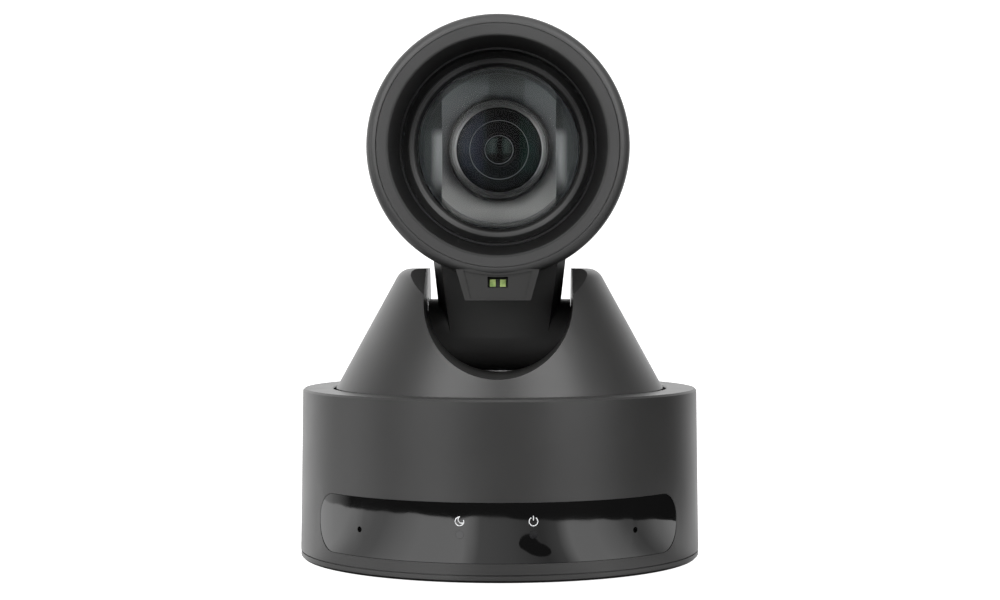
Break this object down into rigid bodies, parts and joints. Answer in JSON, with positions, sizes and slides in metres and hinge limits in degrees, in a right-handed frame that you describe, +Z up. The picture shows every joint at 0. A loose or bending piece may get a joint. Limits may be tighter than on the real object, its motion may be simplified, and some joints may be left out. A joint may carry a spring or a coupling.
{
  "type": "ptz camera",
  "caption": "Pan-tilt-zoom camera with a round drum base, a conical panning turret and a tilting barrel head with a hooded lens.",
  "frame": {"origin": "centre of the feet's underside, on the pan axis", "axes": "+Z up along the pan axis, -Y the way the lens looks, +X along the tilt axis to the right seen from the front"},
  "size_m": [0.144, 0.144, 0.1916],
  "materials": {
    "charcoal": "satin fine-textured charcoal plastic",
    "foot_plate": "charcoal powder coat",
    "black_plastic": "matte black moulded plastic",
    "black_gloss": "polished black window",
    "lens_black": "anodised black",
    "retainer": "machined edge",
    "coated_glass": "multi-coated optical glass",
    "baffle_grey": "satin dark grey",
    "steel": "brushed",
    "aluminium": "die-cast",
    "zinc_plate": "zinc-plated sheet",
    "bronze": "turned",
    "rubber": "matte",
    "circuit_board": "green solder mask",
    "motor_black": "black steel can",
    "light_guide": "frosted clear light pipe",
    "sensor_window": "yellow-green filter window",
    "lens_group": "black lens cell"
  },
  "bodies": {
    "base": {"audio_socket": "black_plastic", "base_housing": "charcoal", "base_plate": "foot_plate", "base_screws": "steel", "board_standoffs": "zinc_plate", "coax_socket": "steel", "front_window": "black_gloss", "hdmi_socket": "steel", "indicator_board": "circuit_board", "main_board": "circuit_board", "microphones": "motor_black", "network_socket": "steel", "pan_bearing_balls": "steel", "pan_bearing_outer": "steel", "pan_belt": "rubber", "pan_chassis": "aluminium", "pan_motor": "motor_black", "power_inlet": "motor_black", "power_light": "light_guide", "rear_board": "circuit_board", "rear_panel": "black_plastic", "rubber_feet": "rubber", "serial_sockets": "black_plastic", "standby_light": "light_guide", "tripod_insert": "bronze", "usb_socket": "steel"},
    "turret": {"turret_shell": "charcoal", "pan_platform": "zinc_plate", "platform_screws": "steel", "pan_shaft": "steel", "pan_pulley": "aluminium", "pan_bearing_inner": "steel", "tilt_supports": "zinc_plate", "tilt_bearings": "bronze", "tilt_motor": "motor_black", "tilt_belt": "rubber"},
    "pan_rotor": {"pan_motor_pulley": "aluminium"},
    "tilt_rotor": {"tilt_motor_pulley": "aluminium"},
    "head": {"neck_front": "black_plastic", "neck_rear": "black_plastic", "head_frame": "aluminium", "tilt_shaft": "steel", "tilt_pulley": "aluminium", "barrel_shell": "charcoal", "rear_cover": "charcoal", "hood_ring": "charcoal", "sensor_cover": "charcoal", "sensor_windows": "sensor_window", "sensor_board": "circuit_board", "lens_barrel": "lens_black", "retaining_ring": "retainer", "front_glass": "coated_glass", "lens_baffle": "baffle_grey", "inner_cell": "black_plastic", "inner_glass": "coated_glass", "guide_rods": "steel", "sensor_frame": "aluminium", "image_board": "circuit_board"},
    "zoom": {"zoom_group": "lens_group"},
    "focus": {"focus_group": "lens_group"}
  },
  "joints": [
    {"name": "pan", "type": "hinge", "parent": "base", "child": "turret", "pos_m": [0, 0, 0.05], "axis": [0, 0, 1], "range_deg": [-170, 170]},
    {"name": "pan_motor", "type": "hinge", "parent": "base", "child": "pan_rotor", "pos_m": [0.042, 0, 0.05], "axis": [0, 0, 1], "range_deg": [-740, 740]},
    {"name": "tilt", "type": "hinge", "parent": "turret", "child": "head", "pos_m": [0, 0, 0.08], "axis": [-1, 0, 0], "range_deg": [-30, 60]},
    {"name": "tilt_motor", "type": "hinge", "parent": "turret", "child": "tilt_rotor", "pos_m": [0.035, 0.018, 0.0642], "axis": [-1, 0, 0], "range_deg": [-91, 181]},
    {"name": "zoom", "type": "slide", "parent": "head", "child": "zoom", "axis": [0, 1, 0], "range_m": [0, 0.012]},
    {"name": "focus", "type": "slide", "parent": "head", "child": "focus", "axis": [0, 1, 0], "range_m": [0, 0.01]}
  ],
  "couplings": [
    {"joint": "pan_motor", "follows": "pan", "ratio": 4.3333},
    {"joint": "tilt_motor", "follows": "tilt", "ratio": 3}
  ]
}
